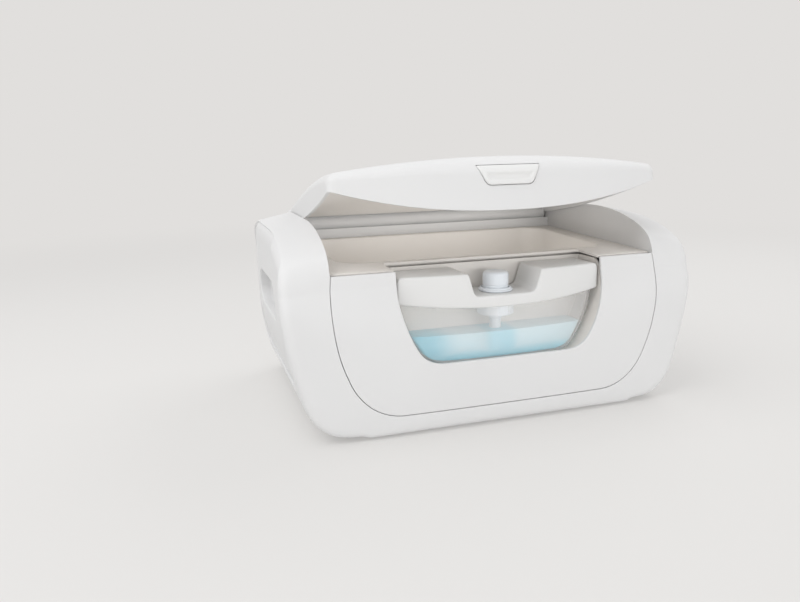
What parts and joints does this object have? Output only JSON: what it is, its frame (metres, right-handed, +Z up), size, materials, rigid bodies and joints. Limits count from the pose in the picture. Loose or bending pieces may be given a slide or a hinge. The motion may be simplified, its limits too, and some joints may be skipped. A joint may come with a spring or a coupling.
{
  "type": "baby wipe warmer",
  "caption": "Heated tub for baby wipes with a hinged domed lid, a latch button, a clear water tank in front and a pump that mists the wipes as the lid is shut.",
  "frame": {"origin": "middle of the footprint, on the surface that the feet stand on, lid as in the rest pose", "axes": "+X to the object's right as seen from the front, +Y to the back, +Z up"},
  "size_m": [0.322, 0.2114, 0.1925],
  "materials": {
    "shell_white": "satin moulded ABS",
    "panel_white": "fine-textured moulded ABS",
    "cover_white": "smooth moulded ABS",
    "button_white": "satin moulded ABS",
    "tub_grey": "warm grey moulded polypropylene",
    "base_grey": "textured moulded polypropylene",
    "foot_rubber": "matt moulded rubber",
    "spring_steel": "plated steel",
    "spreader_metal": "rolled sheet",
    "heater_amber": "polyimide film",
    "foam_grey": "closed-cell foam",
    "part_black": "moulded phenolic and nylon",
    "fuse_metal": "plated can",
    "board_green": "solder mask",
    "pump_white": "smooth moulded polypropylene",
    "lead_red": "PVC insulation",
    "lead_pale": "silicone insulation",
    "tank_clear": "clear moulded styrene-acrylonitrile"
  },
  "bodies": {
    "housing": {"outer_shell": "shell_white", "front_panel": "shell_white", "side_panel_left": "panel_white", "side_panel_right": "panel_white", "base_plate": "base_grey", "wipe_tub": "tub_grey", "tank_cradle": "tub_grey", "heat_spreader": "spreader_metal", "heater_film": "heater_amber", "insulation_pad": "foam_grey", "thermostat": "part_black", "thermal_fuse": "fuse_metal", "circuit_board": "board_green", "dc_inlet": "part_black", "water_tank": "tank_clear", "tank_cover": "cover_white", "pump_body": "pump_white", "pump_spring": "spring_steel", "dip_tube": "pump_white", "hinge_pin_left": "spring_steel", "hinge_pin_right": "spring_steel", "inlet_lead_positive": "lead_red", "inlet_lead_negative": "part_black", "heater_lead_positive": "lead_pale", "heater_lead_negative": "lead_pale", "foot_front_left": "foot_rubber", "foot_front_right": "foot_rubber", "foot_rear_left": "foot_rubber", "foot_rear_right": "foot_rubber", "base_screw_front_left": "spring_steel", "base_screw_front_right": "spring_steel", "base_screw_rear_left": "spring_steel", "base_screw_rear_right": "spring_steel"},
    "lid": {"lid_shell": "shell_white", "lid_liner": "tub_grey", "latch_spring": "spring_steel"},
    "latch": {"latch_button": "button_white", "latch_tongue": "tub_grey"},
    "pump": {"pump_head": "pump_white"}
  },
  "joints": [
    {"name": "lid_hinge", "type": "hinge", "parent": "housing", "child": "lid", "pos_m": [0, 0.08569, 0.1345], "axis": [-1, 0, 0], "range_deg": [-16.4, 66]},
    {"name": "latch_press", "type": "slide", "parent": "lid", "child": "latch", "axis": [0, 0.982, -0.1891], "range_m": [0, 0.003], "stiffness_N_per_m": 300, "springref_m": -0.001, "deforming": ["latch_spring"]},
    {"name": "pump_press", "type": "slide", "parent": "housing", "child": "pump", "axis": [0, 0, -1], "range_m": [0, 0.005], "stiffness_N_per_m": 500, "springref_m": -0.002, "deforming": ["pump_spring"]}
  ]
}
